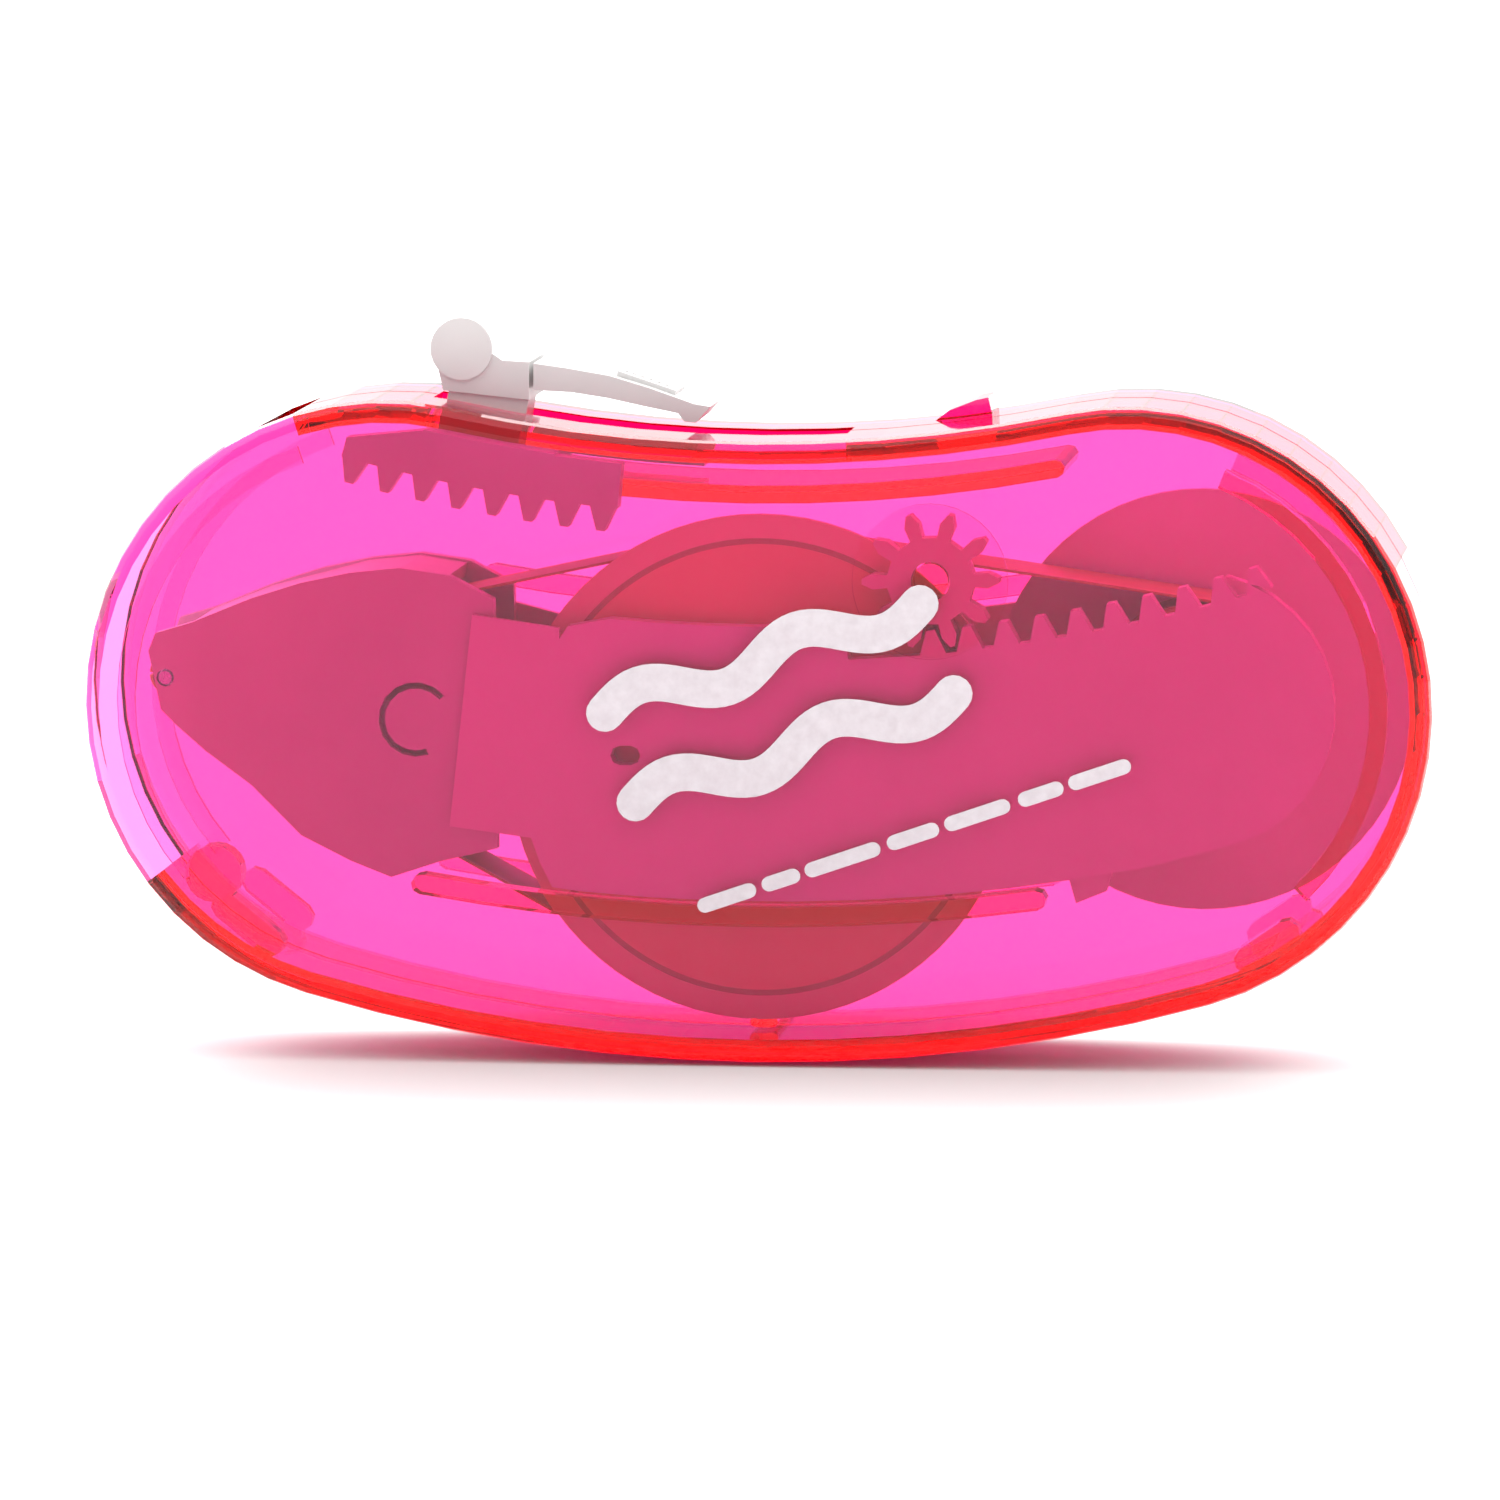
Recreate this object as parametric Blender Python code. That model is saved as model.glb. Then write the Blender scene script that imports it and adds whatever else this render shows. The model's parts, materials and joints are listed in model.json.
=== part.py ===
"""Bean-shaped glue tape roller. A slider on top turns a pinion between two arched racks, which
swings the tape cartridge about the same far centre and pushes its head out of the left end.

Lengths are in millimetres and angles in degrees until a mesh is made, in metres. X points to the
right end, Y to the rear and Z up. The origin is the bottom centre of the case."""

import math

import bmesh
import bpy
from mathutils import Matrix, Vector

MM = 0.001

# Case outline: two end lobes, a hollow top and a slightly bowed bottom, all tangent.
LOBE_X = 20.7
LOBE_Z = 19.89
LOBE_R = 17.0
TOP_R = 83.75
BOTTOM_R = (LOBE_X**2 + LOBE_Z**2 - LOBE_R**2) / (2 * (LOBE_Z - LOBE_R))
SWING_Z = LOBE_Z + math.sqrt((TOP_R + LOBE_R) ** 2 - LOBE_X**2)  # centre of every arched slide

# Case depth, front to rear.
HALF_DEPTH = 7.5
WALL = 1.25
FACE_WALL = 1.2
FACE_IN = HALF_DEPTH - FACE_WALL
EDGE_ROUND = 0.9
SEAM = 0.15

# Layers between the faces: (front, rear).
RACK_LAYER = (-5.9, -4.3)
FRONT_FLANGE = (-3.9, -3.4)
TAPE_LAYER = (-3.0, 3.0)
REAR_FLANGE = (3.3, 3.8)
GEAR_LAYER = (4.1, 4.9)
BASE_LAYER = (5.2, 6.0)

# Gear train: upper rack, pinion and lower rack have one module.
MODULE = 0.65
UPPER_TEETH = 273  # of a full circle about the swing centre
LOWER_TEETH = 293
PINION_TEETH = 10
PINION_AT = 6.1  # angle about the swing centre, from straight down towards +X
PINION_PHASE = 5.0
UPPER_PITCH_R = MODULE * UPPER_TEETH / 2
LOWER_PITCH_R = MODULE * LOWER_TEETH / 2
PINION_PITCH_R = MODULE * PINION_TEETH / 2
UPPER_COUNT = 8
LOWER_COUNT = 10
POST_R = 1.0
SEAT_R = 4.35
DEDENDUM = 1.25  # times the module
ADDENDUM = 0.9
RACK_ADDENDUM = 0.8
PRESSURE = math.radians(20)
SLACK = 0.16  # share of a tooth's width left as backlash

# Reels and their gears.
REEL_MODULE = 0.5
SUPPLY_TEETH = 48
IDLER_TEETH = 14
TAKEUP_TEETH = 22
IDLER_GAP = REEL_MODULE * (SUPPLY_TEETH + IDLER_TEETH) / 2  # supply reel's axis to the idler's
REEL_GAP = IDLER_GAP + REEL_MODULE * (IDLER_TEETH + TAKEUP_TEETH) / 2
REEL_LINE = 7.8  # slope of the line between the reels
SUPPLY_X = 0.1
SUPPLY_Z = 16.3
IDLER_X = SUPPLY_X + IDLER_GAP * math.cos(math.radians(REEL_LINE))
IDLER_Z = SUPPLY_Z + IDLER_GAP * math.sin(math.radians(REEL_LINE))
TAKEUP_X = SUPPLY_X + REEL_GAP * math.cos(math.radians(REEL_LINE))
TAKEUP_Z = SUPPLY_Z + REEL_GAP * math.sin(math.radians(REEL_LINE))
SUPPLY_FLANGE_R = 14.2
TAKEUP_FLANGE_R = 11.9
ROLL_R = 12.7
ROLL_CORE_R = 6.8
USED_R = 6.0
USED_CORE_R = 4.7
SPINDLE_R = 2.2
IDLER_PIN_R = 1.0
SPINDLE_GAP = 0.1

# Cartridge plates and the case's guide rails, by radius about the swing centre.
PLATE_HIGH_R = 94.1
PLATE_LOW_R = 109.5
SHOE_RAIL = (86.4, 87.4)
HIGH_RAIL = (93.2, 94.3)
LOW_RAIL = (109.8, 110.9)
RIB_HEIGHT = 1.9  # on the front face
REAR_RIB_HEIGHT = 1.15

# Tape head.
ROLLER_X = -33.35
ROLLER_Z = 21.1
ROLLER_R = 0.95
PIN_R = 0.38
PIN_HOLE_R = 0.5
STRAND = 0.15  # thickness of the tape
STRAND_GAP = 0.12
HEAD_FRONT = (-5.1, -4.1)
HEAD_REAR = (4.0, 5.0)
HEAD_WALLS = (-3.8, 4.2)

# Slider.
KNOB_X = -17.0
KNOB_Z = 39.45
KNOB_R = 1.75
KNOB_DEPTH = (-2.2, 5.4)
ARM_DEPTH = (-2.0, 5.0)
STEM_HALF = 1.8
SLOT_HALF = 2.1
SLOT_FROM = -12.8
SLOT_TO = 3.25
WEDGE_DEPTH = (2.4, 7.0)

CLEAR_PINK = (0.90, 0.07, 0.33)
WHITE = (0.80, 0.78, 0.78)
TAN = (0.80, 0.55, 0.32)
LINER = (0.66, 0.38, 0.17)
STEEL = (0.55, 0.55, 0.57)
RUBBER = (0.10, 0.10, 0.11)


def clear_scene():
    for obj in list(bpy.data.objects):
        bpy.data.objects.remove(obj, do_unlink=True)


def new_collection(name):
    made = bpy.data.collections.new(name)
    bpy.context.scene.collection.children.link(made)
    return made


def material(name, colour, roughness, metallic=0.0, transmission=0.0):
    made = bpy.data.materials.new(name)
    made.use_nodes = True
    shader = made.node_tree.nodes["Principled BSDF"]
    shader.inputs["Base Color"].default_value = (*colour, 1.0)
    shader.inputs["Roughness"].default_value = roughness
    shader.inputs["Metallic"].default_value = metallic
    shader.inputs["Transmission Weight"].default_value = transmission
    made.diffuse_color = (*colour, 1.0)
    return made


# Outlines: lists of (x, z) points, anticlockwise as seen from the front.


def polar(x, z, radius, angle):
    t = math.radians(angle)
    return x + radius * math.cos(t), z + radius * math.sin(t)


def arc(x, z, radius, start, end, steps):
    """Points from start to end, degrees anticlockwise from +X."""
    return [polar(x, z, radius, start + (end - start) * i / steps) for i in range(steps + 1)]


def circle(x, z, radius, steps=32):
    return arc(x, z, radius, 0, 360 - 360 / steps, steps - 1)


def swung(radius, angle):
    """A point by radius and angle about the swing centre, 0 straight down, + to the right."""
    t = math.radians(angle)
    return radius * math.sin(t), SWING_Z - radius * math.cos(t)


def swing_arc(radius, start, end, steps):
    return [swung(radius, start + (end - start) * i / steps) for i in range(steps + 1)]


def bean(inset=0.0):
    """The case outline, moved inwards by inset."""
    top = math.degrees(math.atan2(SWING_Z - LOBE_Z, LOBE_X))
    low = math.degrees(math.atan2(BOTTOM_R - LOBE_Z, LOBE_X))
    lobe = LOBE_R - inset
    points = arc(-LOBE_X, LOBE_Z, lobe, top, 180 + low, 24)[:-1]
    points += arc(0, BOTTOM_R, BOTTOM_R - inset, 180 + low, 360 - low, 12)[:-1]
    points += arc(LOBE_X, LOBE_Z, lobe, -low, 180 - top, 24)[:-1]
    half = 90 - top
    points += swing_arc(TOP_R + inset, half, -half, 10)[:-1]
    return points


def band(radius_in, radius_out, start, end, steps=8):
    """A strip between two radii about the swing centre."""
    return swing_arc(radius_out, start, end, steps) + swing_arc(radius_in, end, start, steps)


def round_band(radius_in, radius_out, start, end, steps=10):
    """A strip about the swing centre with half-round ends."""
    mid = (radius_in + radius_out) / 2
    half = (radius_out - radius_in) / 2
    (right_x, right_z), (left_x, left_z) = swung(mid, end), swung(mid, start)
    right = arc(right_x, right_z, half, end - 90, end + 90, 4)[1:-1]
    left = arc(left_x, left_z, half, start + 90, start + 270, 4)[1:-1]
    lower = swing_arc(radius_out, start, end, steps)
    return lower + right + swing_arc(radius_in, end, start, steps) + left


def lobe_band(side, radius_in, radius_out, start, end, steps=12):
    """A strip round one end lobe's centre; side is -1 for the left lobe."""
    x = side * LOBE_X
    return arc(x, LOBE_Z, radius_out, start, end, steps) + arc(
        x, LOBE_Z, radius_in, end, start, steps
    )


def bar(start, end, width, steps=4):
    """A straight strip with round ends."""
    (x0, z0), (x1, z1) = start, end
    along = math.degrees(math.atan2(z1 - z0, x1 - x0))
    return arc(x1, z1, width / 2, along - 90, along + 90, steps) + arc(
        x0, z0, width / 2, along + 90, along + 270, steps
    )


def offset_path(path, width):
    """A ribbon of even width along a path of points."""
    left, right = [], []
    for i, (x, z) in enumerate(path):
        before = Vector(path[max(i - 1, 0)])
        after = Vector(path[min(i + 1, len(path) - 1)])
        along = (after - before).normalized()
        side = Vector((-along.y, along.x)) * width / 2
        left.append((x + side.x, z + side.y))
        right.append((x - side.x, z - side.y))
    return right + left[::-1]


# Gear outlines.


def involute(pressure):
    return math.tan(pressure) - pressure


def half_tooth(radius, pitch_r, teeth):
    """Half a tooth's angle at a radius, in degrees, with involute flanks."""
    base = pitch_r * math.cos(PRESSURE)
    pressure = math.acos(min(1.0, base / radius))
    at_pitch = 90 / teeth * (1 - SLACK)
    return at_pitch + math.degrees(involute(PRESSURE) - involute(pressure))


def gear(x, z, teeth, module, tooth_at):
    """A spur gear's outline, with the middle of one tooth at the angle tooth_at."""
    pitch_r = module * teeth / 2
    base = pitch_r * math.cos(PRESSURE)
    root, tip = pitch_r - DEDENDUM * module, pitch_r + ADDENDUM * module
    flank = [
        (root, half_tooth(max(root, base), pitch_r, teeth)),
        (pitch_r, half_tooth(pitch_r, pitch_r, teeth)),
        (tip, half_tooth(tip, pitch_r, teeth)),
    ]
    points = []
    for i in range(teeth):
        middle = tooth_at + 360 * i / teeth
        points += [polar(x, z, radius, middle - half) for radius, half in flank]
        points += [polar(x, z, radius, middle + half) for radius, half in flank[::-1]]
    return points


def rack_teeth(pitch_r, teeth, outward, angles):
    """Teeth of an arched rack, left to right: from root to tip and back at each angle."""
    sign = 1 if outward else -1
    quarter = 90 / teeth * (1 - SLACK)
    lean = math.degrees(math.tan(PRESSURE) / pitch_r)
    root = pitch_r - sign * DEDENDUM * MODULE
    tip = pitch_r + sign * RACK_ADDENDUM * MODULE
    points = []
    for angle in angles:
        for side in (-1, 1):
            ends = [
                (root, angle + side * (quarter + DEDENDUM * MODULE * lean)),
                (tip, angle + side * (quarter - RACK_ADDENDUM * MODULE * lean)),
            ]
            points += [swung(*end) for end in ends[::-side]]
    return points


def tooth_angles(teeth, first, count, shift):
    return [PINION_AT + shift + 360 / teeth * (first + i) for i in range(count)]


# Solids.


def extruded(name, outline, front, rear, holes=()):
    """A flat piece with the outline in X and Z, from depth front to depth rear."""
    curve = bpy.data.curves.new(name, "CURVE")
    curve.dimensions = "2D"
    curve.fill_mode = "BOTH"
    curve.extrude = (rear - front) / 2 * MM
    for loop in (outline, *holes):
        spline = curve.splines.new("POLY")
        spline.points.add(len(loop) - 1)
        spline.use_cyclic_u = True
        for point, (x, z) in zip(spline.points, loop):
            point.co = (x * MM, z * MM, 0, 1)
    flat = bpy.data.objects.new(name + "_outline", curve)
    bpy.context.scene.collection.objects.link(flat)
    flat.matrix_world = Matrix.Translation((0, (front + rear) / 2 * MM, 0)) @ Matrix.Rotation(
        math.radians(90), 4, "X"
    )
    bpy.context.view_layer.update()
    graph = bpy.context.evaluated_depsgraph_get()
    mesh = bpy.data.meshes.new_from_object(flat.evaluated_get(graph))
    mesh.transform(flat.matrix_world)
    mesh.name = name
    bpy.data.objects.remove(flat)
    bm = bmesh.new()
    bm.from_mesh(mesh)
    bmesh.ops.remove_doubles(bm, verts=bm.verts, dist=0.001 * MM)
    bmesh.ops.recalc_face_normals(bm, faces=bm.faces)
    bm.to_mesh(mesh)
    bm.free()
    return mesh


def placed(name, mesh, collection):
    obj = bpy.data.objects.new(name, mesh)
    collection.objects.link(obj)
    return obj


def piece(name, mesh, look):
    """A piece of the object, with its material."""
    obj = placed(name, mesh, PARTS)
    obj.data.materials.clear()
    obj.data.materials.append(look)
    return obj


def helper(name, mesh):
    """A solid that is joined to a piece, or cut from it."""
    obj = placed(name, mesh, CUTTERS)
    obj.hide_render = True
    obj.display_type = "WIRE"
    return obj


def combine(target, operation, solids, solver="EXACT"):
    """Joins the solids to the target, or cuts them from it."""
    for i, (outline, front, rear) in enumerate(solids):
        label = f"{target.name}_{operation.lower()}_{len(target.modifiers)}_{i}"
        other = helper(label, extruded(label, outline, front, rear))
        boolean = target.modifiers.new(label, "BOOLEAN")
        boolean.operation = operation
        boolean.solver = solver
        boolean.object = other


def shade(obj):
    obj.data.shade_smooth()
    obj.data.set_sharp_from_angle(angle=math.radians(32))


def pivot_at(obj, x, z, y=0.0):
    """Moves the object's origin onto its joint's axis."""
    point = Vector((x, y, z)) * MM
    obj.data.transform(Matrix.Translation(-point))
    obj.location = point


def round_front_edge(mesh, depth, width, segments):
    """Rounds the outer edge of the face that lies at the given depth."""
    bm = bmesh.new()
    bm.from_mesh(mesh)
    caps = [f for f in bm.faces if all(abs(v.co.y - depth * MM) < 1e-6 for v in f.verts)]
    bmesh.ops.dissolve_faces(bm, faces=caps)
    edges = [
        edge
        for edge in bm.edges
        if all(abs(v.co.y - depth * MM) < 1e-6 for v in edge.verts)
        and any(abs(face.normal.y) < 0.5 for face in edge.link_faces)
    ]
    bmesh.ops.bevel(
        bm,
        geom=edges,
        offset=width * MM,
        segments=segments,
        affect="EDGES",
        profile=0.5,
    )
    bm.to_mesh(mesh)
    bm.free()


# Case.


def shell(name, side, look):
    """One half of the case: side is -1 in front and 1 at the rear."""
    outer, seam, inner = side * HALF_DEPTH, side * SEAM, side * FACE_IN
    block = extruded(name, bean(), min(outer, seam), max(outer, seam))
    round_front_edge(block, outer, EDGE_ROUND, 3)
    half = piece(name, block, look)
    mouth = lobe_band(-1, LOBE_R - WALL - 0.8, LOBE_R + 2, 108, 217, 16)
    slot = band(TOP_R - 3, TOP_R + WALL + 0.8, SLOT_FROM, SLOT_TO, 3)
    inside = min(inner, 0), max(inner, 0)
    cuts = [(bean(WALL), *inside), (mouth, *inside), (slot, -SLOT_HALF, SLOT_HALF)]
    combine(half, "DIFFERENCE", cuts, "MANIFOLD")
    return half


def raised(side, height):
    """Depth range of a feature that stands on a case half's inner face."""
    foot, top = side * (FACE_IN + 0.2), side * (FACE_IN - height)
    return min(foot, top), max(foot, top)


def end_ribs(side, tall):
    left = (lobe_band(-1, 14.2, 15.2, 109, 221, 16), *raised(side, 0.35))
    right = (lobe_band(1, 13.5, 14.5, -46, 68, 16), *raised(side, tall))
    slabs = [
        (bar((-29.9, 8.4), (-27.3, 6.3), 1.5), *raised(side, tall)),
        (bar((27.5, 6.1), (29.7, 7.6), 1.5), *raised(side, tall)),
    ]
    return [left, right, *slabs]


def front_shell(look):
    half = shell("front_shell", -1, look)
    pinion_x, pinion_z = pinion_centre()
    ribs = [
        (round_band(*LOW_RAIL, -9.8, 8.2), *raised(-1, RIB_HEIGHT)),
        (circle(pinion_x, pinion_z, SEAT_R, 36), *raised(-1, 0.25)),
        (circle(pinion_x, pinion_z, POST_R, 24), *raised(-1, 2.2)),
        (circle(-30.5, 10.2, 1.6, 20), *raised(-1, RIB_HEIGHT)),
    ]
    combine(half, "UNION", ribs + end_ribs(-1, RIB_HEIGHT), "MANIFOLD")
    shade(half)


def rear_shell(look):
    half = shell("rear_shell", 1, look)
    ribs = [
        (round_band(*SHOE_RAIL, -12.0, 11.0), -3.9, FACE_IN + 0.2),
        (round_band(*HIGH_RAIL, -9.9, 10.8), *raised(1, REAR_RIB_HEIGHT)),
        (round_band(*LOW_RAIL, -9.8, 8.2), *raised(1, REAR_RIB_HEIGHT)),
        (bar((-0.4, 1.72), (0.6, 1.72), 0.6), -2.2, FACE_IN + 0.2),
        (catch_wedge(), *WEDGE_DEPTH),
    ]
    combine(half, "UNION", ribs + end_ribs(1, REAR_RIB_HEIGHT), "MANIFOLD")
    shade(half)


def catch_wedge():
    """A ramp on the rim that rises to the right and ends in a steep face."""
    rim = [swung(TOP_R + 0.6, angle) for angle in (5.7, 7.2, 8.6)]
    return rim + [swung(TOP_R - 0.95, 8.5), swung(TOP_R - 0.9, 8.0), swung(TOP_R - 0.5, 6.9)]


# Gears.


def pinion_centre():
    return swung(UPPER_PITCH_R + PINION_PITCH_R, PINION_AT)


def pinion(look):
    x, z = pinion_centre()
    gap_at = 90 + PINION_AT - PINION_PHASE
    outline = gear(x, z, PINION_TEETH, MODULE, gap_at + 180 / PINION_TEETH)
    bore = circle(x, z, POST_R + 0.09, 24)
    obj = piece("pinion", extruded("pinion", outline, *RACK_LAYER, [bore[::-1]]), look)
    pivot_at(obj, x, z)
    shade(obj)


# Slider.


def slider(look):
    """Knob, stem, shoe and upper rack."""
    shift = PINION_PHASE * PINION_TEETH / UPPER_TEETH
    angles = tooth_angles(UPPER_TEETH, -16, UPPER_COUNT, shift)
    teeth = rack_teeth(UPPER_PITCH_R, UPPER_TEETH, True, angles)
    left, right = angles[0] - 0.5, angles[-1] + 0.55
    root = UPPER_PITCH_R - DEDENDUM * MODULE
    rack = [swung(root, left), *teeth, swung(root, right)]
    rack += swing_arc(TOP_R + WALL + 0.4, right, -12.7, 6) + [swung(86.8, left)]
    obj = piece("slider", extruded("slider", rack, *RACK_LAYER), look)
    shoe = band(TOP_R + WALL + 0.3, 86.1, -12.6, -7.6, 6)
    stem = band(83.0, 86.0, -12.3, -9.2, 3)
    saddle = band(TOP_R + WALL + 0.35, 85.95, -8.4, -2.5, 6)
    cap = [(-18.05, 37.1), (-13.2, 36.6), (-13.2, 38.72), (-14.7, 38.8), (-15.3, 39.2),
           (-17.0, 39.6), (-18.4, 38.6)]
    joined = [
        (shoe, RACK_LAYER[0], -RACK_LAYER[0]),
        (saddle, SLOT_HALF + 0.2, 4.9),
        (stem, -STEM_HALF, STEM_HALF),
        (cap, ARM_DEPTH[0], ARM_DEPTH[1]),
        (circle(KNOB_X, KNOB_Z, KNOB_R, 28), *KNOB_DEPTH),
    ]
    combine(obj, "UNION", joined)
    pivot_at(obj, 0, SWING_Z)
    shade(obj)


def slider_arm(look):
    """Springy arm beside the knob, arched over the rim, with a hooked tip."""
    top = [(-3.9, 36.45), (-6.5, 37.35), (-8.7, 38.0), (-11.2, 38.42), (-12.95, 38.65)]
    under = [(-12.95, 37.15), (-10.8, 37.05), (-8.8, 36.75), (-6.7, 36.3), (-4.8, 35.92)]
    tip = [(-4.45, 35.45), (-3.8, 35.4), (-3.0, 36.3)]
    obj = piece("slider_arm", extruded("slider_arm", under + tip + top, *ARM_DEPTH), look)
    patch = [(-8.5, 37.6), (-5.2, 36.6), (-5.0, 37.1), (-8.3, 38.2)]
    combine(obj, "UNION", [(patch, ARM_DEPTH[0] + 1, ARM_DEPTH[1] - 1)])
    pivot_at(obj, 0, SWING_Z)
    shade(obj)


# Cartridge.


def plate_outline(top_edge):
    """Cartridge plate: round left end about the supply reel, round right end at the take-up."""
    left = arc(SUPPLY_X, SUPPLY_Z, 13.3, 143, 210, 10)
    lower = swing_arc(PLATE_LOW_R, -5.2, 11.5, 8)
    right = arc(TAKEUP_X + 0.2, TAKEUP_Z + 0.3, 7.7, -72, 78, 14)
    return left + lower + right + top_edge


def carrier_cover(look):
    shift = -PINION_PHASE * PINION_TEETH / LOWER_TEETH
    angles = tooth_angles(LOWER_TEETH, 0, LOWER_COUNT, shift)
    teeth = rack_teeth(LOWER_PITCH_R, LOWER_TEETH, False, angles)[::-1]
    root = LOWER_PITCH_R + DEDENDUM * MODULE
    edge = [*teeth, swung(root, angles[0] - 0.6), swung(root, 3.1)]
    edge += swing_arc(PLATE_HIGH_R, 3.0, -5.0, 5)
    window = bar((-7.6, 17.1), (-7.0, 17.1), 1.1)
    mesh = extruded("carrier_cover", plate_outline(edge), *RACK_LAYER, [window[::-1]])
    obj = piece("carrier_cover", mesh, look)
    tongue = [(-17.2, 13.0), (-11.0, 12.2), (-11.0, 24.2), (-15.9, 24.9)]
    combine(obj, "UNION", [(tongue, RACK_LAYER[0], HEAD_FRONT[0] - 0.3)], "MANIFOLD")
    pivot_at(obj, 0, SWING_Z)
    shade(obj)


def neck_outline():
    """Rear arm of the cartridge from the supply reel to the head."""
    return [(-30.8, 18.0), (-22.0, 14.0), (-9.0, 11.4), (-9.0, 23.0), (-19.0, 25.6), (-30.8, 23.5)]


def carrier_base(look):
    edge = swing_arc(PLATE_HIGH_R + 0.6, 13.0, -5.0, 10)
    mesh = extruded("carrier_base", plate_outline(edge), *BASE_LAYER)
    obj = piece("carrier_base", mesh, look)
    posts = [
        (neck_outline(), 5.3, BASE_LAYER[1] - 0.1),
        (circle(SUPPLY_X, SUPPLY_Z, SPINDLE_R, 20), -3.9, 5.4),
        (circle(TAKEUP_X, TAKEUP_Z, SPINDLE_R, 20), -3.9, 5.4),
        (circle(IDLER_X, IDLER_Z, IDLER_PIN_R, 16), 4.0, 5.4),
    ]
    combine(obj, "UNION", posts, "MANIFOLD")
    pivot_at(obj, 0, SWING_Z)
    shade(obj)


def head_outline():
    """The head in profile, from its tip round the upper edge, the heel and the lower edge."""
    lower = [(-33.6, 19.3), (-32.7, 18.4), (-31.1, 17.0), (-28.5, 15.1), (-25.7, 12.3)]
    lower += [(-22.9, 10.9), (-20.6, 10.0), (-17.9, 10.9), (-14.6, 11.7)]
    upper = [(-14.8, 25.7), (-17.3, 27.0), (-20.1, 27.4), (-22.9, 27.1), (-25.7, 26.5)]
    upper += [(-28.5, 25.6), (-31.9, 24.2), (-33.9, 23.6), (-34.3, 22.6)]
    return lower + upper


def head_housing(look):
    """Rear cheek of the head with the walls above and below the tape's way."""
    obj = piece("head_housing", extruded("head_housing", head_outline(), *HEAD_REAR), look)
    upper = [(-31.8, 23.75), (-28.4, 25.1), (-22.9, 26.6), (-20.1, 26.9), (-17.5, 26.5)]
    lower = [(-30.8, 17.5), (-28.2, 15.6), (-25.2, 12.75), (-22.7, 11.5), (-20.5, 10.65)]
    walls = [
        (offset_path(upper, 0.8), *HEAD_WALLS),
        (offset_path(lower, 0.8), *HEAD_WALLS),
        (circle(-21.4, 18.4, 1.5, 16), *HEAD_WALLS),
    ]
    combine(obj, "UNION", walls)
    combine(obj, "DIFFERENCE", [(circle(ROLLER_X, ROLLER_Z, PIN_HOLE_R, 12), 3.8, 5.2)])
    pivot_at(obj, 0, SWING_Z)
    shade(obj)


def head_cover(look):
    """Front cheek of the head. A C-shaped slit frees its round latch tongue."""
    slit = arc(-19.2, 18.9, 2.1, 40, 290, 12) + arc(-19.2, 18.9, 1.75, 290, 40, 12)
    bore = circle(ROLLER_X, ROLLER_Z, PIN_HOLE_R, 12)
    mesh = extruded("head_cover", head_outline(), *HEAD_FRONT, [slit[::-1], bore[::-1]])
    obj = piece("head_cover", mesh, look)
    pivot_at(obj, 0, SWING_Z)
    shade(obj)


def press_roller(look):
    outline = circle(ROLLER_X, ROLLER_Z, ROLLER_R, 20)
    bore = circle(ROLLER_X, ROLLER_Z, PIN_R + 0.07, 12)
    obj = piece("press_roller", extruded("press_roller", outline, -3.3, 3.3, [bore[::-1]]), look)
    pivot_at(obj, ROLLER_X, ROLLER_Z)
    shade(obj)


def roller_pin(look):
    outline = circle(ROLLER_X, ROLLER_Z, PIN_R, 12)
    obj = piece("roller_pin", extruded("roller_pin", outline, HEAD_FRONT[0], HEAD_REAR[1]), look)
    pivot_at(obj, ROLLER_X, ROLLER_Z)
    shade(obj)


def ratchet_pawl(look):
    """Small springy finger below the take-up reel."""
    finger = [(16.3, 12.0), (17.3, 10.6), (17.8, 8.9), (19.5, 9.6), (20.1, 11.5), (18.3, 12.6)]
    obj = piece("ratchet_pawl", extruded("ratchet_pawl", finger, -4.1, -3.1), look)
    pivot_at(obj, 0, SWING_Z)
    shade(obj)


# Reels.


def turned_piece(name, x, z, outer, inner, front, rear, look, steps=48):
    """A plain ring about a reel's axis."""
    loops = circle(x, z, outer, steps), circle(x, z, inner, 24)
    obj = piece(name, extruded(name, loops[0], front, rear, [loops[1][::-1]]), look)
    pivot_at(obj, x, z)
    shade(obj)
    return obj


def supply_core(look):
    bore = SPINDLE_R + SPINDLE_GAP
    obj = turned_piece("supply_core", SUPPLY_X, SUPPLY_Z, SUPPLY_FLANGE_R, bore, *FRONT_FLANGE, look, 72)
    hub = extruded(
        "supply_core_hub",
        circle(0, 0, ROLL_CORE_R - 0.15, 40),
        FRONT_FLANGE[0] + 0.1,
        TAPE_LAYER[1],
        [circle(0, 0, bore, 24)[::-1]],
    )
    join_mesh(obj, hub)


def join_mesh(obj, mesh):
    """Unites a mesh made about the origin with an object that has its origin on the same axis."""
    other = helper(mesh.name, mesh)
    other.location = obj.location
    boolean = obj.modifiers.new(mesh.name, "BOOLEAN")
    boolean.operation = "UNION"
    boolean.solver = "EXACT"
    boolean.object = other


def reel_gear(name, x, z, teeth, tooth_at, look, pin_r=SPINDLE_R):
    outline = gear(x, z, teeth, REEL_MODULE, tooth_at)
    bore = circle(x, z, pin_r + SPINDLE_GAP, 24)
    obj = piece(name, extruded(name, outline, *GEAR_LAYER, [bore[::-1]]), look)
    pivot_at(obj, x, z)
    shade(obj)


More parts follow.
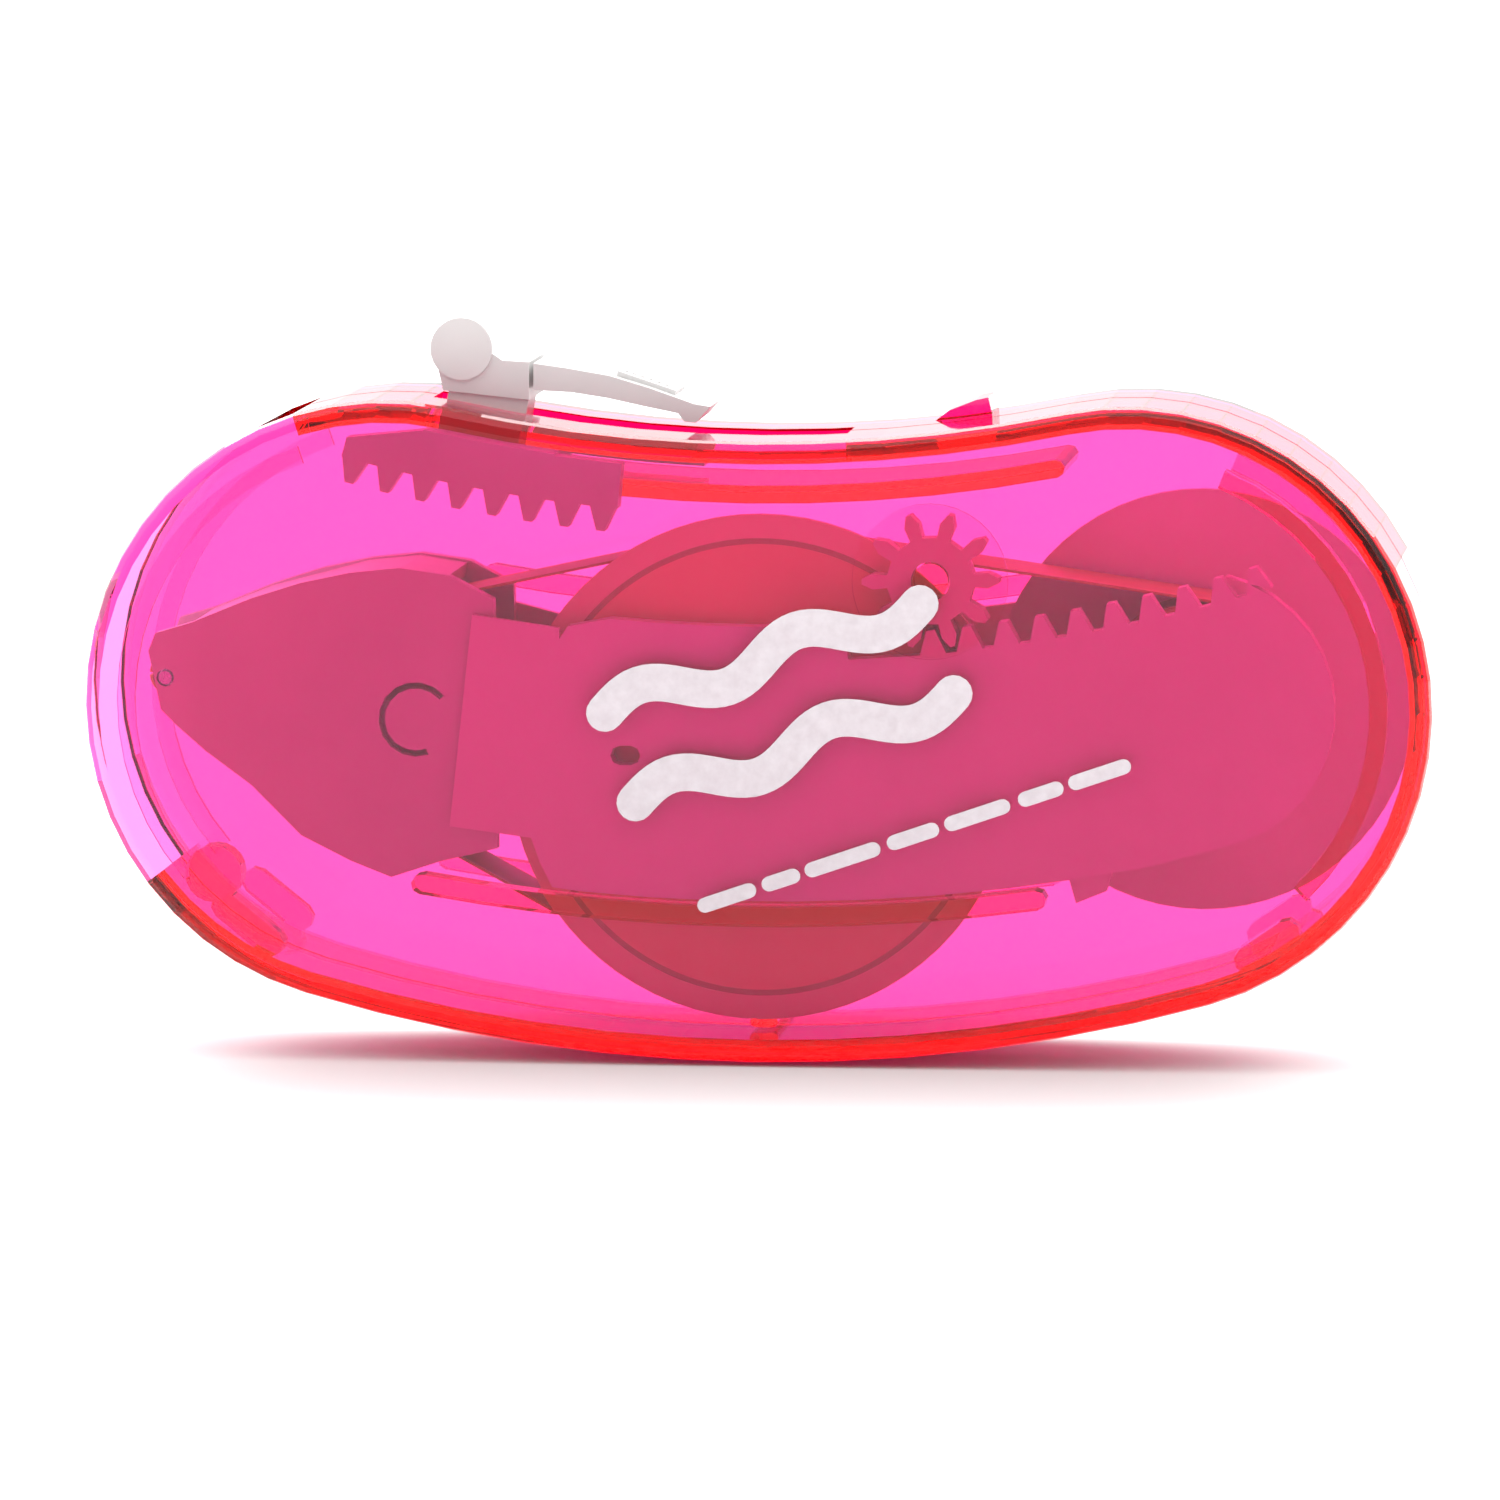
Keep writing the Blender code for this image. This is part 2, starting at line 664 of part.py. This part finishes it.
def takeup_hub(look):
    bore = SPINDLE_R + SPINDLE_GAP
    obj = turned_piece("takeup_hub", TAKEUP_X, TAKEUP_Z, TAKEUP_FLANGE_R, bore, *REAR_FLANGE, look, 60)
    hub = extruded(
        "takeup_hub_drum",
        circle(0, 0, USED_CORE_R - 0.15, 32),
        TAPE_LAYER[0],
        REAR_FLANGE[1] - 0.1,
        [circle(0, 0, bore, 24)[::-1]],
    )
    join_mesh(obj, hub)


def reels(white, natural, liner, rubber):
    bore = SPINDLE_R + SPINDLE_GAP
    supply_core(natural)
    takeup_hub(white)
    turned_piece("tape_roll", SUPPLY_X, SUPPLY_Z, ROLL_R, ROLL_CORE_R, *TAPE_LAYER, liner, 72)
    turned_piece("used_tape", TAKEUP_X, TAKEUP_Z, USED_R, USED_CORE_R, *TAPE_LAYER, liner)
    turned_piece("clutch_washer", SUPPLY_X, SUPPLY_Z, 5.0, bore, 3.2, 3.9, rubber, 32)
    reel_gear("supply_gear", SUPPLY_X, SUPPLY_Z, SUPPLY_TEETH, REEL_LINE, white)
    idler_at = REEL_LINE + 180 + 180 / IDLER_TEETH
    reel_gear("idler_gear", IDLER_X, IDLER_Z, IDLER_TEETH, idler_at, white, IDLER_PIN_R)
    offset = (idler_at - REEL_LINE) % (360 / IDLER_TEETH)  # of an idler tooth from the line
    takeup_at = REEL_LINE + 180 - offset * IDLER_TEETH / TAKEUP_TEETH + 180 / TAKEUP_TEETH
    reel_gear("takeup_gear", TAKEUP_X, TAKEUP_Z, TAKEUP_TEETH, takeup_at, white)


# Tape strands.


def tangent_angle(x0, z0, r0, x1, z1, r1, side):
    """Angle at both centres of the outer tangent's touching points; side 1 is above."""
    along = math.atan2(z1 - z0, x1 - x0)
    lean = math.asin((r1 - r0) / math.hypot(x1 - x0, z1 - z0))
    return math.degrees(along + side * (math.pi / 2 + lean))


def strands(look):
    clear = STRAND_GAP + STRAND / 2
    tip_r, roll_r, used_r = ROLLER_R + clear, ROLL_R + clear, USED_R + clear
    args = (ROLLER_X, ROLLER_Z, tip_r, SUPPLY_X, SUPPLY_Z, roll_r)
    below = tangent_angle(*args, -1)
    above = tangent_angle(*args, 1)
    feed = arc(ROLLER_X, ROLLER_Z, tip_r, -176, below, 6)
    feed += arc(SUPPLY_X, SUPPLY_Z, roll_r, below, below + 12, 3)
    back = arc(ROLLER_X, ROLLER_Z, tip_r, 176, above, 6)
    over = tangent_angle(SUPPLY_X, SUPPLY_Z, roll_r, TAKEUP_X, TAKEUP_Z, used_r, 1)
    back += arc(SUPPLY_X, SUPPLY_Z, roll_r, above, over, 8)
    back += arc(TAKEUP_X, TAKEUP_Z, used_r, over, over - 25, 4)
    for name, path in (("tape_feed", feed), ("tape_return", back)):
        obj = piece(name, extruded(name, offset_path(path, STRAND), -2.9, 2.9), look)
        pivot_at(obj, 0, SWING_Z)
        shade(obj)


clear_scene()
PARTS = new_collection("glue_tape_roller")
CUTTERS = new_collection("cutters")
CLEAR = material("clear_pink", CLEAR_PINK, 0.06, transmission=1.0)
MOULDED = material("white_moulded", WHITE, 0.35)
SPOOL = material("tan_spool", TAN, 0.35)
TAPE = material("tape_liner", LINER, 0.5)
METAL = material("steel_pin", STEEL, 0.3, metallic=1.0)
GRIP = material("clutch_rubber", RUBBER, 0.7)

front_shell(CLEAR)
rear_shell(CLEAR)
slider(MOULDED)
slider_arm(MOULDED)
pinion(MOULDED)
carrier_cover(MOULDED)
carrier_base(MOULDED)
head_housing(MOULDED)
head_cover(MOULDED)
press_roller(MOULDED)
roller_pin(METAL)
ratchet_pawl(MOULDED)
reels(MOULDED, SPOOL, TAPE, GRIP)
strands(TAPE)
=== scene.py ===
import json
import math

import bmesh
import bpy
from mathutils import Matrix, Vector


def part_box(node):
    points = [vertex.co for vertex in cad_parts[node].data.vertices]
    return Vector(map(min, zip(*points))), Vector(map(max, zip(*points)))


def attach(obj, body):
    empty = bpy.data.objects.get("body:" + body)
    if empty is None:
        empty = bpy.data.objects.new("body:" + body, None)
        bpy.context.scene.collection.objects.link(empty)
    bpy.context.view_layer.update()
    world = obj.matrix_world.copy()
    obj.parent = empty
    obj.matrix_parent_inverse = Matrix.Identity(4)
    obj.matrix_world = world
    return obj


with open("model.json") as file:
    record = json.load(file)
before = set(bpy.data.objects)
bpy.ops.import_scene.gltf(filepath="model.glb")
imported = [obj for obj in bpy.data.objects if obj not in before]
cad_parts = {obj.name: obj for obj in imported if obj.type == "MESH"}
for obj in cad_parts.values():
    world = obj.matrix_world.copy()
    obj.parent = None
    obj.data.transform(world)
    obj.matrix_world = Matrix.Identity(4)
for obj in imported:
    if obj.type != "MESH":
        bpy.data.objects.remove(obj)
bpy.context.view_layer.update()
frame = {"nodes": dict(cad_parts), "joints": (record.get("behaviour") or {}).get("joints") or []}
MM = 0.001
PRINT = (0.02, 0.004)  # how far the print's front and rear stand off the case, in mm
WAVE_WIDTH = 2.1
WAVE_HEIGHT = 0.85
WAVE_COUNT = 2.0  # waves in each row
WAVE_STEPS = 48
DASH_WIDTH = 0.85
DASH_SLOPE = math.radians(19)
DASH_START = (-2.7, 8.9)
RIDGE_START = (-7.95, 38.05)  # middle of the leftmost grip ridge
RIDGE_HALF = 1.6  # half the length of a grip ridge
RIDGE_STEP = 0.46  # between neighbouring grip ridges
RIDGE_FALL = 0.333  # drop of the arm per mm to the right
SHARP = math.radians(35)  # edges steeper than this stay crisp


# Camera and surroundings

def camera(focus, azimuth, elevation, distance, lens):
    data = bpy.data.cameras.new("camera")
    data.lens = lens
    data.sensor_width = 36
    data.clip_start, data.clip_end = 0.01, 20
    obj = bpy.data.objects.new("camera", data)
    bpy.context.scene.collection.objects.link(obj)
    a, e = math.radians(azimuth), math.radians(elevation)
    away = Vector((math.sin(a) * math.cos(e), -math.cos(a) * math.cos(e), math.sin(e)))
    obj.location = Vector(focus) + away * distance
    obj.rotation_euler = (-away).to_track_quat("-Z", "Y").to_euler()
    bpy.context.scene.camera = obj


def studio_light():
    """Soft light all round: bright above and behind, dimmer from the front."""
    world = bpy.data.worlds.new("studio")
    bpy.context.scene.world = world
    world.use_nodes = True
    nodes, links = world.node_tree.nodes, world.node_tree.links
    back = nodes["Background"]
    place = nodes.new("ShaderNodeTexCoord")
    split = nodes.new("ShaderNodeSeparateXYZ")
    links.new(place.outputs["Generated"], split.inputs[0])
    depth = nodes.new("ShaderNodeMapRange")
    depth.interpolation_type = "SMOOTHSTEP"
    depth.inputs["From Min"].default_value = -0.75
    depth.inputs["From Max"].default_value = 0.25
    depth.inputs["To Min"].default_value = 0.58
    depth.inputs["To Max"].default_value = 1.3
    links.new(split.outputs["Y"], depth.inputs["Value"])
    up = nodes.new("ShaderNodeMapRange")
    up.interpolation_type = "SMOOTHSTEP"
    up.inputs["From Min"].default_value = 0.25
    up.inputs["From Max"].default_value = 0.95
    up.inputs["To Min"].default_value = 0.0
    up.inputs["To Max"].default_value = 0.9
    links.new(split.outputs["Z"], up.inputs["Value"])
    add = nodes.new("ShaderNodeMath")
    add.operation = "ADD"
    links.new(depth.outputs[0], add.inputs[0])
    links.new(up.outputs[0], add.inputs[1])
    links.new(add.outputs[0], back.inputs["Strength"])
    back.inputs["Color"].default_value = (1.0, 0.995, 0.99, 1)


def back_light():
    """Wide soft box above and behind: it whitens the floor without lighting the fronts."""
    data = bpy.data.lights.new("back_light", "AREA")
    data.shape = "RECTANGLE"
    data.size, data.size_y = 1.6, 1.0
    data.energy = 15
    obj = bpy.data.objects.new("back_light", data)
    bpy.context.scene.collection.objects.link(obj)
    obj.location = (0, 0.75, 0.8)
    obj.rotation_euler = (Vector((0, 0.2, 0)) - obj.location).to_track_quat("-Z", "Y").to_euler()


def floor():
    bpy.ops.mesh.primitive_plane_add(size=8, location=(0, 2, -0.0002))
    obj = bpy.context.object
    obj.name = "floor"
    mat, nodes, links, shader = surface("floor_paper", (0.86, 0.86, 0.86), 0.7)
    obj.data.materials.append(mat)


# Materials

def surface(name, colour, roughness):
    mat = bpy.data.materials.new(name)
    mat.use_nodes = True
    nodes, links = mat.node_tree.nodes, mat.node_tree.links
    shader = nodes["Principled BSDF"]
    shader.inputs["Base Color"].default_value = (*colour, 1)
    shader.inputs["Roughness"].default_value = roughness
    return mat, nodes, links, shader


def noise(nodes, links, scale, detail=2.0, stretch=(1, 1, 1)):
    place = nodes.new("ShaderNodeTexCoord")
    mapping = nodes.new("ShaderNodeMapping")
    mapping.inputs["Scale"].default_value = stretch
    made = nodes.new("ShaderNodeTexNoise")
    made.inputs["Scale"].default_value = scale
    made.inputs["Detail"].default_value = detail
    links.new(place.outputs["Object"], mapping.inputs["Vector"])
    links.new(mapping.outputs[0], made.inputs["Vector"])
    return made.outputs["Fac"]


def ramp(nodes, links, source, low, high, start=0.3, end=0.7):
    made = nodes.new("ShaderNodeMapRange")
    made.inputs["From Min"].default_value = start
    made.inputs["From Max"].default_value = end
    made.inputs["To Min"].default_value = low
    made.inputs["To Max"].default_value = high
    links.new(source, made.inputs["Value"])
    return made.outputs[0]


def tinted(nodes, links, source, dark, light):
    made = nodes.new("ShaderNodeMix")
    made.data_type = "RGBA"
    made.inputs["A"].default_value = (*dark, 1)
    made.inputs["B"].default_value = (*light, 1)
    links.new(source, made.inputs["Factor"])
    return made.outputs["Result"]


def bump(nodes, links, shader, height, distance, strength=1.0):
    made = nodes.new("ShaderNodeBump")
    made.inputs["Distance"].default_value = distance
    made.inputs["Strength"].default_value = strength
    links.new(height, made.inputs["Height"])
    links.new(made.outputs[0], shader.inputs["Normal"])


def clear_plastic(name, per_mm):
    """Polished see-through plastic that darkens with its own thickness."""
    mat, nodes, links, shader = surface(name, (1.0, 0.98, 0.99), 0.03)
    shader.inputs["Transmission Weight"].default_value = 1
    shader.inputs["IOR"].default_value = 1.42
    cloudy = noise(nodes, links, 90, 3)
    links.new(ramp(nodes, links, cloudy, 0.015, 0.05), shader.inputs["Roughness"])
    bump(nodes, links, shader, noise(nodes, links, 70, 1), 0.00002)
    absorb = nodes.new("ShaderNodeVolumeAbsorption")
    density = max(per_mm) * 1000 * 1.03
    absorb.inputs["Density"].default_value = density
    absorb.inputs["Color"].default_value = (*[1 - s * 1000 / density for s in per_mm], 1)
    links.new(absorb.outputs[0], nodes["Material Output"].inputs["Volume"])
    return mat


def moulded(name, dark, light, roughness=0.35, grain=900, depth=0.000006):
    """Injection-moulded plastic: faint colour drift, fine orange peel, polish that varies."""
    mat, nodes, links, shader = surface(name, light, roughness)
    drift = ramp(nodes, links, noise(nodes, links, 120, 3), 0, 1)
    links.new(tinted(nodes, links, drift, dark, light), shader.inputs["Base Color"])
    polish = ramp(nodes, links, noise(nodes, links, 260, 4), roughness - 0.06, roughness + 0.08)
    links.new(polish, shader.inputs["Roughness"])
    bump(nodes, links, shader, noise(nodes, links, grain, 2), depth)
    return mat


def wound(name, centre, dark, light):
    """Side of a wound tape: hundreds of edges as fine rings about the reel's axis."""
    mat, nodes, links, shader = surface(name, light, 0.55)
    place = nodes.new("ShaderNodeTexCoord")
    mapping = nodes.new("ShaderNodeMapping")
    mapping.inputs["Location"].default_value = (-centre[0], 0, -centre[2])
    links.new(place.outputs["Object"], mapping.inputs["Vector"])
    rings = nodes.new("ShaderNodeTexWave")
    rings.wave_type = "RINGS"
    rings.rings_direction = "Y"
    rings.inputs["Scale"].default_value = 800
    rings.inputs["Distortion"].default_value = 0.6
    rings.inputs["Detail"].default_value = 2
    rings.inputs["Detail Scale"].default_value = 0.3
    links.new(mapping.outputs[0], rings.inputs["Vector"])
    coarse = nodes.new("ShaderNodeTexWave")
    coarse.wave_type = "RINGS"
    coarse.rings_direction = "Y"
    coarse.inputs["Scale"].default_value = 110
    coarse.inputs["Distortion"].default_value = 1.5
    links.new(mapping.outputs[0], coarse.inputs["Vector"])
    mixed = nodes.new("ShaderNodeMath")
    mixed.operation = "MULTIPLY_ADD"
    mixed.inputs[1].default_value = 0.6
    links.new(rings.outputs["Fac"], mixed.inputs[0])
    links.new(ramp(nodes, links, coarse.outputs["Fac"], 0, 0.4, 0, 1), mixed.inputs[2])
    links.new(tinted(nodes, links, mixed.outputs[0], dark, light), shader.inputs["Base Color"])
    links.new(ramp(nodes, links, mixed.outputs[0], 0.62, 0.42, 0, 1), shader.inputs["Roughness"])
    bump(nodes, links, shader, rings.outputs["Fac"], 0.00004)
    return mat


def shaded_flange(name, centre, roll_r, dark, light):
    """Thin flange in front of a wound roll: painted shade makes it darker where the roll lies behind
    it, with a painted dark ring at the roll's edge.
    """
    mat, nodes, links, shader = surface(name, light, 0.4)
    place = nodes.new("ShaderNodeTexCoord")
    flat = nodes.new("ShaderNodeVectorMath")
    flat.operation = "MULTIPLY_ADD"
    flat.inputs[1].default_value = (1, 0, 1)
    flat.inputs[2].default_value = (-centre[0], 0, -centre[2])
    links.new(place.outputs["Object"], flat.inputs[0])
    radius = nodes.new("ShaderNodeVectorMath")
    radius.operation = "LENGTH"
    links.new(flat.outputs[0], radius.inputs[0])
    # painted shade mask: 0 where the roll lies behind the flange, 1 beyond the roll's radius
    roll_shade_mask = ramp(nodes, links, radius.outputs["Value"], 0, 1, roll_r - 0.0001, roll_r + 0.0001)
    drift = noise(nodes, links, 150, 3)
    roll_shaded_colour = tinted(nodes, links, roll_shade_mask, dark, light)
    # painted dark ring where the roll's edge lies behind the flange
    edge = nodes.new("ShaderNodeMath")
    edge.operation = "COMPARE"
    edge.inputs[1].default_value = roll_r
    edge.inputs[2].default_value = 0.00016
    links.new(radius.outputs["Value"], edge.inputs[0])
    ring = nodes.new("ShaderNodeMix")
    ring.data_type = "RGBA"
    links.new(edge.outputs[0], ring.inputs["Factor"])
    links.new(roll_shaded_colour, ring.inputs["A"])
    ring.inputs["B"].default_value = (*[c * 0.55 for c in dark], 1)
    links.new(ring.outputs["Result"], shader.inputs["Base Color"])
    links.new(ramp(nodes, links, drift, 0.34, 0.5), shader.inputs["Roughness"])
    bump(nodes, links, shader, noise(nodes, links, 900, 2), 0.000006)
    return mat


def film(name, dark, light):
    """Release liner seen flat: glazed paper with long faint streaks."""
    mat, nodes, links, shader = surface(name, light, 0.4)
    streaks = noise(nodes, links, 300, 3, (0.3, 4, 0.3))
    shade = tinted(nodes, links, ramp(nodes, links, streaks, 0, 1), dark, light)
    links.new(shade, shader.inputs["Base Color"])
    links.new(ramp(nodes, links, streaks, 0.34, 0.5), shader.inputs["Roughness"])
    bump(nodes, links, shader, noise(nodes, links, 1500, 3), 0.000004)
    return mat


def metal(name):
    mat, nodes, links, shader = surface(name, (0.60, 0.60, 0.62), 0.3)
    shader.inputs["Metallic"].default_value = 1
    drawn = noise(nodes, links, 900, 3, (1, 0.05, 1))
    shade = tinted(nodes, links, drawn, (0.42, 0.42, 0.44), (0.68, 0.68, 0.70))
    links.new(shade, shader.inputs["Base Color"])
    links.new(ramp(nodes, links, drawn, 0.22, 0.42), shader.inputs["Roughness"])
    bump(nodes, links, shader, drawn, 0.000005)
    return mat


def rubber(name):
    mat, nodes, links, shader = surface(name, (0.08, 0.08, 0.085), 0.8)
    grain = noise(nodes, links, 1400, 4)
    shade = tinted(nodes, links, grain, (0.05, 0.05, 0.055), (0.12, 0.12, 0.125))
    links.new(shade, shader.inputs["Base Color"])
    links.new(ramp(nodes, links, grain, 0.65, 0.9), shader.inputs["Roughness"])
    bump(nodes, links, shader, grain, 0.00002)
    return mat


def ink(name):
    """Screen-printed white: dense and slightly uneven."""
    mat, nodes, links, shader = surface(name, (0.72, 0.66, 0.70), 0.45)
    mottle = noise(nodes, links, 1800, 4)
    patchy = ramp(nodes, links, mottle, 0, 1)
    shade = tinted(nodes, links, patchy, (0.66, 0.59, 0.63), (0.74, 0.68, 0.72))
    links.new(shade, shader.inputs["Base Color"])
    links.new(ramp(nodes, links, mottle, 0.38, 0.58), shader.inputs["Roughness"])
    bump(nodes, links, shader, mottle, 0.00001)
    return mat


# Mesh tools

def slab(name, outline, front, rear, bevel=0.0):
    """Flat piece from an outline of (x, z) in millimetres, with softened edges."""
    bm = bmesh.new()
    face = bm.faces.new([bm.verts.new((x * MM, front * MM, z * MM)) for x, z in outline])
    bm.normal_update()
    if face.normal.y > 0:
        face.normal_flip()
    made = bmesh.ops.extrude_face_region(bm, geom=[face])
    moved = [v for v in made["geom"] if isinstance(v, bmesh.types.BMVert)]
    bmesh.ops.translate(bm, verts=moved, vec=(0, (rear - front) * MM, 0))
    bmesh.ops.recalc_face_normals(bm, faces=bm.faces)
    if bevel:
        rims = [e for e in bm.edges if all(abs(v.co.y - front * MM) < 1e-7 for v in e.verts)]
        rims += [e for e in bm.edges if all(abs(v.co.y - rear * MM) < 1e-7 for v in e.verts)]
        bmesh.ops.bevel(bm, geom=rims, offset=bevel * MM, segments=2, affect="EDGES", profile=0.5)
    mesh = bpy.data.meshes.new(name)
    bm.to_mesh(mesh)
    bm.free()
    mesh.shade_smooth()
    mesh.set_sharp_from_angle(angle=SHARP)
    obj = bpy.data.objects.new(name, mesh)
    bpy.context.scene.collection.objects.link(obj)
    return obj


def polar(x, z, radius, angle):
    t = math.radians(angle)
    return x + radius * math.cos(t), z + radius * math.sin(t)


def ribbon(path, width):
    """Outline of even width along a path, with round ends."""
    left, right = [], []
    for i, (x, z) in enumerate(path):
        ahead = Vector(path[min(i + 1, len(path) - 1)])
        along = (ahead - Vector(path[max(i - 1, 0)])).normalized()
        side = Vector((-along.y, along.x)) * width / 2
        left.append((x + side.x, z + side.y))
        right.append((x - side.x, z - side.y))
    first = math.degrees(math.atan2(path[1][1] - path[0][1], path[1][0] - path[0][0]))
    last = math.degrees(math.atan2(path[-1][1] - path[-2][1], path[-1][0] - path[-2][0]))
    head = [polar(*path[-1], width / 2, last - 90 + 22.5 * i) for i in range(1, 8)]
    tail = [polar(*path[0], width / 2, first + 90 + 22.5 * i) for i in range(1, 8)]
    return right + head + left[::-1] + tail


def finish_as(piece, mat, body):
    piece.data.materials.append(mat)
    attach(piece, body)


# The object

def dress(mats):
    for node, mat in mats.items():
        obj = frame["nodes"][node]
        for used in obj.material_slots:
            used.material = mat


def printed_waves(mat):
    """Plain printed decoration: two rising waves and a dashed line."""
    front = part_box("front_shell")[0][1] / MM
    depths = [front - off for off in PRINT]
    rows = [((-8.3, 19.6), (9.3, 25.9)), ((-6.6, 14.6), (11.2, 20.9))]
    for i, ((x0, z0), (x1, z1)) in enumerate(rows):
        path = []
        length = math.hypot(x1 - x0, z1 - z0)
        ux, uz = (x1 - x0) / length, (z1 - z0) / length
        for step in range(WAVE_STEPS + 1):
            t = step / WAVE_STEPS
            lift = WAVE_HEIGHT * math.sin(t * WAVE_COUNT * 2 * math.pi)
            path.append((x0 + ux * length * t - uz * lift, z0 + uz * length * t + ux * lift))
        obj = slab(f"print_wave_{i + 1}", ribbon(path, WAVE_WIDTH), *depths)
        finish_as(obj, mat, "case")
    dashes = [(-2.7, 2.6), (0.9, 1.4), (3.3, 3.6), (7.9, 2.2), (11.1, 3.0), (15.2, 1.8), (18.0, 2.8)]
    for i, (x0, length) in enumerate(dashes):
        z0 = DASH_START[1] + (x0 - DASH_START[0]) * math.tan(DASH_SLOPE)
        end = (x0 + length * math.cos(DASH_SLOPE), z0 + length * math.sin(DASH_SLOPE))
        obj = slab(f"print_dash_{i + 1}", ribbon([(x0, z0), end], DASH_WIDTH), *depths)
        finish_as(obj, mat, "case")


def arm_grip(mat):
    """Fine cross ridges on the springy arm's raised patch."""
    low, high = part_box("slider_arm")
    mid_y = (low[1] + high[1]) / 2 / MM
    for i in range(6):
        x = RIDGE_START[0] + i * RIDGE_STEP
        z = RIDGE_START[1] - (x - RIDGE_START[0]) * RIDGE_FALL
        tip = [(x - 0.12, z - 0.12), (x + 0.12, z - 0.16), (x + 0.1, z + 0.1), (x - 0.08, z + 0.14)]
        ridge = slab(f"arm_ridge_{i + 1}", tip, mid_y - RIDGE_HALF, mid_y + RIDGE_HALF, 0.04)
        finish_as(ridge, mat, "slider")


camera((-0.17 * MM, -7.5 * MM, 17.63 * MM), 6.03, 6.36, 0.640, 276.2)
studio_light()
back_light()
floor()

WHITE = moulded("white_moulding", (0.66, 0.645, 0.64), (0.73, 0.715, 0.71))
# white moulding tinted pink with extra red: painted pink light for light reaching the inner parts
# through the pink case
WHITE_PAINTED_PINK_LIGHT = moulded("white_moulding_painted_pink_light", (0.90, 0.72, 0.80), (0.95, 0.77, 0.85))
# white head moulding tinted pink and dimmed: painted pink light and painted shade for light reaching
# it through the pink case
HEAD_PAINTED_PINK_LIGHT = moulded("head_moulding_painted_pink_light", (0.74, 0.64, 0.68), (0.80, 0.70, 0.73))
PINK = clear_plastic("clear_pink_plastic", (0.015, 1.33, 0.50))
PIN = metal("drawn_steel")
CLUTCH = rubber("clutch_rubber")
LINER = film("release_liner", (0.56, 0.32, 0.14), (0.70, 0.42, 0.20))
supply = [j for j in frame["joints"] if j["name"] == "supply_spin"][0]["pos_m"]
takeup = [j for j in frame["joints"] if j["name"] == "takeup_spin"][0]["pos_m"]
# tan flange with painted shade where the roll lies behind it
TAN_PAINTED_SHADE = shaded_flange("tan_moulding_painted_shade", supply, 0.0127, (0.93, 0.52, 0.34), (0.95, 0.66, 0.50))
ROLL = wound("wound_tape", supply, (0.46, 0.22, 0.09), (0.72, 0.42, 0.20))
USED = wound("wound_liner", takeup, (0.50, 0.30, 0.14), (0.74, 0.50, 0.28))

dress({
    "front_shell": PINK, "rear_shell": PINK, "slider": WHITE, "slider_arm": WHITE, "pinion": WHITE_PAINTED_PINK_LIGHT,
    "carrier_cover": WHITE_PAINTED_PINK_LIGHT, "carrier_base": WHITE_PAINTED_PINK_LIGHT, "head_housing": HEAD_PAINTED_PINK_LIGHT, "head_cover": HEAD_PAINTED_PINK_LIGHT,
    "press_roller": WHITE, "roller_pin": PIN, "ratchet_pawl": WHITE_PAINTED_PINK_LIGHT, "supply_core": TAN_PAINTED_SHADE,
    "takeup_hub": WHITE_PAINTED_PINK_LIGHT, "tape_roll": ROLL, "used_tape": USED, "clutch_washer": CLUTCH,
    "supply_gear": WHITE_PAINTED_PINK_LIGHT, "idler_gear": WHITE_PAINTED_PINK_LIGHT, "takeup_gear": WHITE_PAINTED_PINK_LIGHT,
    "tape_feed": LINER, "tape_return": LINER,
})
printed_waves(ink("white_ink"))
arm_grip(WHITE)

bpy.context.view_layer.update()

scene = bpy.context.scene
scene.view_settings.view_transform = "Standard"
scene.cycles.max_bounces = 24
scene.cycles.glossy_bounces = 16
scene.cycles.transmission_bounces = 24
